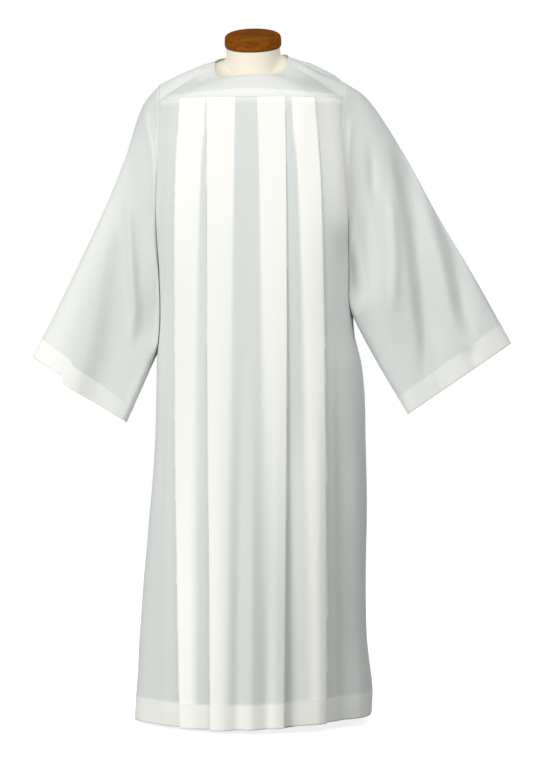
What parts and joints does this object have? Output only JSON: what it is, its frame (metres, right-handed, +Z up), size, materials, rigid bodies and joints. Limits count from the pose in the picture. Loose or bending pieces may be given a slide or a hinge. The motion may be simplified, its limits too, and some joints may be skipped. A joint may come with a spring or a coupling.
{
  "type": "alb on a dress form",
  "caption": "Long white liturgical alb with knife pleats under a yoke, wide open sleeves and deep hems, worn by a limbless dress form on a pole stand",
  "frame": {"origin": "centre of the round foot's underside", "axes": "+Z up, the front of the alb faces -Y, the wearer's left is +X"},
  "size_m": [1.0378, 0.3903, 1.4928],
  "materials": {
    "alb_cloth": "fine plain-weave cotton blend, matt, slightly see-through, whiter where layers lie double",
    "form_cover": "cream jersey stretched smooth over the form",
    "cap_wood": "orange-brown varnished hardwood",
    "pole_steel": "plain steel tube",
    "base_iron": "pale grey enamelled iron foot"
  },
  "bodies": {
    "root": {"front_panel": "alb_cloth", "back_panel": "alb_cloth", "front_yoke": "alb_cloth", "back_yoke": "alb_cloth", "neck_facing": "alb_cloth", "right_sleeve": "alb_cloth", "left_sleeve": "alb_cloth", "front_hem": "alb_cloth", "back_hem": "alb_cloth", "right_cuff_hem": "alb_cloth", "left_cuff_hem": "alb_cloth", "dress_form": "form_cover", "neck_cap": "cap_wood", "stand_pole": "pole_steel", "stand_base": "base_iron"}
  },
  "joints": []
}
